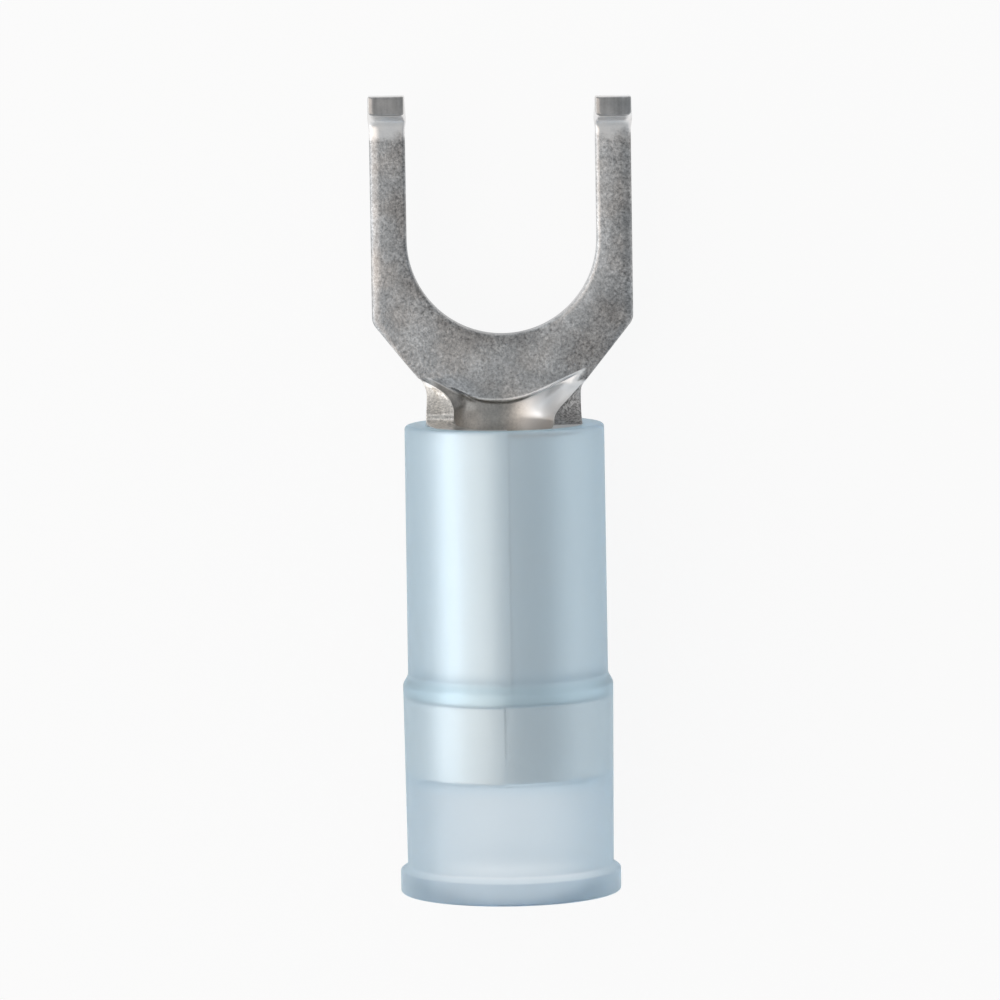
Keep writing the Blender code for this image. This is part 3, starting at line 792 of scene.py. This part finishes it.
def tin_plate():
    """Grained tin plate on the flats, smooth where the tools bent, pressed or cut it, with painted
    shade and highlights.
    """
    tin = Finish("grained_tin_plate", Metallic=1.0)
    along = tin.y + OVERALL_LENGTH / 2

    # Where each sort of surface lies
    ragged = tin.grain(0.35 * MM, 3, seed=3.0) - 0.5
    tip = (along + ragged * (0.8 * MM)).ramped(BEND_START - 0.45 * MM, BEND_START - 0.1 * MM)
    tip_top = AXIS_HEIGHT + TONGUE_TOP + FLANGE_HEIGHT - SHEET
    end_face = tin.z.ramped(tip_top - 0.10 * MM, tip_top - 0.03 * MM)
    pressed = tin.attribute("pressed")
    sheared = tin.attribute("sheared")
    height = tin.z - AXIS_HEIGHT
    from_axis = (tin.x * tin.x + height * height) ** 0.5
    outside = from_axis.ramped(MEAN_RADIUS, BARREL_RADIUS - 0.1 * MM)
    covered = outside * (1 - along.ramped(BARREL_FRONT - 0.12 * MM, BARREL_FRONT - 0.07 * MM))
    neck = pressed * (1 - covered)
    on_top = height.ramped(0.2 * MM, 0.4 * MM)
    front_face = neck * on_top * (1 - along.ramped(BARREL_FRONT, BARREL_FRONT + 0.02 * MM))
    # A band along the coined lip, painted lighter as a painted highlight
    painted_lip_highlight = pressed * (1 - pressed) * 4 * (1 - covered)
    cut = sheared * neck * (1 - front_face)
    grained = 1 - tip.most(pressed)

    # Painted shade and light on the flats: darker inside the left leg and outside the right one,
    # lighter inside the right one
    drop = (along - SLOT_CENTRE).least(0.0)
    off_slot = (tin.x * tin.x + drop * drop) ** 0.5 - SLOT_RADIUS
    on_right = tin.x.ramped(1.0 * MM, 2.4 * MM)
    painted_shade_inside_left_leg = (1 - off_slot.ramped(0.0, 0.75 * MM)) * (1 - tin.x.ramped(0.3 * MM, 1.8 * MM))
    painted_shade_outside_right_leg = off_slot.ramped(0.2 * MM, 1.0 * MM) * on_right
    painted_light_inside_right_leg = (1 - off_slot.ramped(0.1 * MM, 0.5 * MM)) * on_right

    # Brightness of each sort of surface, from the grain of the sheet, with painted shade and
    # highlights added
    fine = tin.grain(0.05 * MM, 2, 0.6) - 0.5
    specks = tin.grain(0.09 * MM, 3, 0.6, seed=7.0) - 0.5
    patches = tin.grain(0.9 * MM, 4, 0.6, seed=1.0) - 0.5
    flecks = fine * 0.55 + specks * (1.0 + patches * 2.8)
    flat = 0.415 + flecks + patches * 0.5
    flat = flat - painted_shade_inside_left_leg * 0.20 - painted_shade_outside_right_leg * 0.18 + painted_light_inside_right_leg * 0.14
    marks = tin.grain(0.12 * MM, 2, 0.5, seed=5.0, stretch=(1.0, 0.12, 1.0)) - 0.5
    # The flanges' end faces are painted darker, as a painted dark reflection; the marks on them are
    # the metal's own
    bent = 0.86 + patches * 0.5 + fine * 0.15 - end_face * (0.58 - marks * 0.4)
    # The trough's right wall is painted lighter: a painted highlight
    wall = tin.x.ramped(0.2 * MM, 0.9 * MM)
    # The barrel's mouth, which lies in shade, is painted lighter: painted light
    painted_light_at_mouth = 1 - along.ramped(BARREL_FRONT - 0.05 * MM, BARREL_FRONT + 0.4 * MM)
    trough = 0.44 + wall * 0.56 + painted_light_at_mouth * 0.30 + (flecks * 0.5 + patches * 0.4) * (1 - wall)
    # The left cut face is painted lighter than the right one: painted light from the left
    painted_light_on_left = 1 - tin.x.ramped(-0.1 * MM, 0.1 * MM)
    sheared_face = 0.20 + painted_light_on_left * 0.52 + flecks * 1.3
    shade = flat * grained + bent * tip + trough * neck * (1 - cut) * (1 - front_face)
    # The barrel's front end face is painted bright as a painted highlight, and the lip band adds a
    # painted highlight
    shade = shade + sheared_face * cut + front_face * 0.85 + painted_lip_highlight * 0.7
    shade = shade * 0.91 + pressed * covered
    colour = tin.blend(shade.clamped(), DARK_TIN, BRIGHT_TIN)
    tint = tin.grain(1.3 * MM, 2, 0.5, seed=11.0).ramped(0.35, 0.65)
    stain = tin.blend(tint, (0.98, 1.0, 1.03), (1.02, 0.997, 0.99))
    stain = tin.blend(neck * (1 - wall) * (1 - front_face), stain, (1.02, 0.975, 0.925))
    stain = tin.blend(covered, stain, (1.0, 0.97, 0.95))
    colour = tin.blend(1.0, colour, stain, "MULTIPLY")
    roughness = 0.34 + specks * 0.3 * grained + grained * 0.08 + cut * 0.1 - end_face * 0.06
    roughness = roughness + covered * 0.08 + neck * wall * 0.10
    relief = (fine * 0.6 + specks) * (grained + cut)
    normal = tin.bump(relief, 0.016 * MM, 0.7)
    return tin.use(Base_Color=colour, Roughness=roughness, Normal=normal)


def sleeve_plate():
    """Smooth tin plate on the rolled strip."""
    plate = Finish("smooth_sleeve_plate", Metallic=1.0)
    lines = plate.grain(0.2 * MM, 2, 0.5, stretch=(0.3, 4.0, 0.3))
    shade = 0.5 + (lines - 0.5) * 0.3
    colour = plate.blend(shade.clamped(), (0.91, 0.88, 0.85), (0.99, 0.96, 0.93))
    return plate.use(Base_Color=colour, Roughness=0.39 + (lines - 0.5) * 0.1)


def blue_nylon():
    """Clear nylon with a pale blue tint and a satin skin, whiter where nothing lies under it, with
    painted shade on the flare.
    """
    nylon = Finish(
        "clear_blue_nylon", IOR=1.53, Transmission_Weight=0.93,
        Sheen_Weight=0.40, Sheen_Roughness=0.60, Sheen_Tint=(0.60, 0.88, 1.0, 1.0),
    )
    along = nylon.y + OVERALL_LENGTH / 2
    cloud = nylon.grain(2.2 * MM, 3, 0.5, seed=4.0)
    filled = along.ramped(SLEEVE_REAR - 0.5 * MM, SLEEVE_REAR + 0.2 * MM)
    blue = nylon.blend(cloud, (0.86, 0.95, 1.0), (0.90, 0.965, 1.0))
    colour = nylon.blend(filled, CLEAR, blue)
    step_band = along.ramped(SLEEVE_FRONT, STEP_REAR - 0.2 * MM)
    step_band = step_band * (1 - along.ramped(STEP_FRONT - 0.25 * MM, STEP_FRONT))
    colour = nylon.blend(step_band * 0.5, colour, (0.76, 0.95, 1.0))
    # The flare is painted darker away from its sides: painted shade
    flare = 1 - along.ramped(FLARE_WIDTH, WAIST)
    sideways = nylon.x * (1 / FLARE_RADIUS)
    at_side = 1 - (1 - sideways * sideways).most(0.0) ** 0.5
    flare_with_painted_shade = nylon.blend(at_side, FLARE_PAINTED_SHADE, CLEAR)
    colour = nylon.blend(flare, colour, flare_with_painted_shade)
    skin = nylon.grain(0.5 * MM, 2, 0.5, seed=9.0)
    roughness = 0.36 + (skin - 0.5) * 0.04
    normal = nylon.bump(nylon.grain(1.1 * MM, 2, 0.5, seed=2.0), 0.010 * MM, 0.5)
    values = {"Color": NYLON_TINT, "Density": NYLON_DENSITY}
    body = nylon.add("VolumeAbsorption", values=values)
    nylon.tree.links.new(body.socket, nylon.tree.nodes["Material Output"].inputs["Volume"])
    return nylon.use(Base_Color=colour, Roughness=roughness, Normal=normal)


HORIZON_LIGHT = 1.0
ZENITH_LIGHT = 0.53
ZENITH_FROM = 0.5
ROOM_COLOUR = (0.95, 0.98, 1, 1)
SOFTBOX_AZIMUTH = 90
SOFTBOX_DISTANCE = 0.30
SOFTBOX_ELEVATION = 40
SOFTBOX_SIZE = (0.40, 0.44)
SOFTBOX_LIGHT = 0.84
SOFTBOX_COLOUR = (1.0, 0.875, 0.775)
LOW_SOFTBOX_ELEVATION = 9
LOW_SOFTBOX_SIZE = (0.40, 0.09)
LOW_SOFTBOX_LIGHT = 1.25
LOW_SOFTBOX_COLOUR = (0.88, 0.94, 1.0)
TABLE_HALF_WIDTH = 1.5
TABLE_WHITENESS = 0.90
CAMERA_LENS = 239.4
CAMERA_DISTANCE = 190 * MM
CAMERA_TILT = math.radians(5.6)
CAMERA_TURN = math.radians(0.87)
LOOKED_AT = (-0.155 * MM, -0.15 * MM, AXIS_HEIGHT)


def white_table():
    """A table that is white to the camera and in reflections, and takes the part's shadow."""
    bm = bmesh.new()
    bmesh.ops.create_grid(bm, x_segments=1, y_segments=1, size=TABLE_HALF_WIDTH)
    mesh = bpy.data.meshes.new("white_table")
    bm.to_mesh(mesh)
    bm.free()
    table = bpy.data.objects.new("white_table", mesh)
    bpy.context.scene.collection.objects.link(table)
    white = Finish("white_paper", Roughness=0.9)
    white.use(Base_Color=(0.82, 0.82, 0.82))
    path = white.add("LightPath", output=None)
    seen = Amount(white, path.outputs["Is Glossy Ray"])
    seen = seen.most(Amount(white, path.outputs["Is Transmission Ray"]))
    seen = seen.most(Amount(white, path.outputs["Is Camera Ray"]) * TABLE_WHITENESS)
    glow = white.add("Emission", values={"Color": (1, 1, 1), "Strength": 1.0})
    joined = white.add("MixShader", values={0: seen, 1: white.shader.outputs[0], 2: glow})
    white.tree.links.new(joined.socket, white.tree.nodes["Material Output"].inputs["Surface"])
    mesh.materials.append(white.material)


def softbox(name, elevation, size, strength, colour):
    """An area lamp facing the part.

    Azimuth 0 is at the fork's end, and 90 to the left of the picture.
    """
    lamp = bpy.data.lights.new(name, "AREA")
    lamp.shape = "RECTANGLE"
    lamp.size, lamp.size_y = size
    lamp.energy = strength * size[0] * size[1] * math.pi
    lamp.color = colour
    lit = bpy.data.objects.new(name, lamp)
    a, e = math.radians(SOFTBOX_AZIMUTH), math.radians(elevation)
    towards = Vector((-math.sin(a) * math.cos(e), math.cos(a) * math.cos(e), math.sin(e)))
    lit.location = towards * SOFTBOX_DISTANCE
    lit.rotation_mode = "QUATERNION"
    lit.rotation_quaternion = towards.to_track_quat("Z", "Y")
    bpy.context.scene.collection.objects.link(lit)


def studio():
    """A pale room, brighter towards the horizon than overhead, with two softboxes on the left."""
    world = bpy.data.worlds.new("studio")
    world.use_nodes = True
    tree = world.node_tree
    background = tree.nodes["Background"]
    background.inputs["Color"].default_value = ROOM_COLOUR
    path = tree.nodes.new("ShaderNodeLightPath")
    direction = tree.nodes.new("ShaderNodeTexCoord")
    parts = tree.nodes.new("ShaderNodeSeparateXYZ")
    level = tree.nodes.new("ShaderNodeMapRange")
    share = tree.nodes.new("ShaderNodeMix")
    tree.links.new(direction.outputs["Generated"], parts.inputs[0])
    tree.links.new(parts.outputs["Z"], level.inputs["Value"])
    level.inputs["From Max"].default_value = ZENITH_FROM
    level.inputs["To Min"].default_value = HORIZON_LIGHT
    level.inputs["To Max"].default_value = ZENITH_LIGHT
    tree.links.new(path.outputs["Is Camera Ray"], share.inputs[0])
    tree.links.new(level.outputs[0], share.inputs[2])
    share.inputs[3].default_value = 1.0
    tree.links.new(share.outputs[0], background.inputs["Strength"])
    bpy.context.scene.world = world
    softbox("left_softbox", SOFTBOX_ELEVATION, SOFTBOX_SIZE, SOFTBOX_LIGHT, SOFTBOX_COLOUR)
    low = (LOW_SOFTBOX_ELEVATION, LOW_SOFTBOX_SIZE, LOW_SOFTBOX_LIGHT, LOW_SOFTBOX_COLOUR)
    softbox("low_left_softbox", *low)


def camera():
    """The photo's view: nearly straight down, with the fork's end at the top."""
    lens = bpy.data.cameras.new("camera")
    lens.lens = CAMERA_LENS
    lens.sensor_width = 36
    lens.clip_start = 0.01
    lens.clip_end = 20
    seen_by = bpy.data.objects.new("camera", lens)
    bpy.context.scene.collection.objects.link(seen_by)
    back = Vector((0, math.sin(CAMERA_TILT), math.cos(CAMERA_TILT)))
    upward = Vector((math.sin(CAMERA_TURN), math.cos(CAMERA_TURN), 0))
    upward = (upward - back * upward.dot(back)).normalized()
    right = upward.cross(back)
    turned = Matrix((right, upward, back)).transposed()
    stand = Vector(LOOKED_AT) + back * CAMERA_DISTANCE
    seen_by.matrix_world = Matrix.Translation(stand) @ turned.to_4x4()
    bpy.context.scene.camera = seen_by


fork_terminal(tin_plate())
grip_sleeve(sleeve_plate())
nylon_insulator(blue_nylon())
white_table()
studio()
camera()
bpy.context.scene.view_settings.view_transform = "Standard"
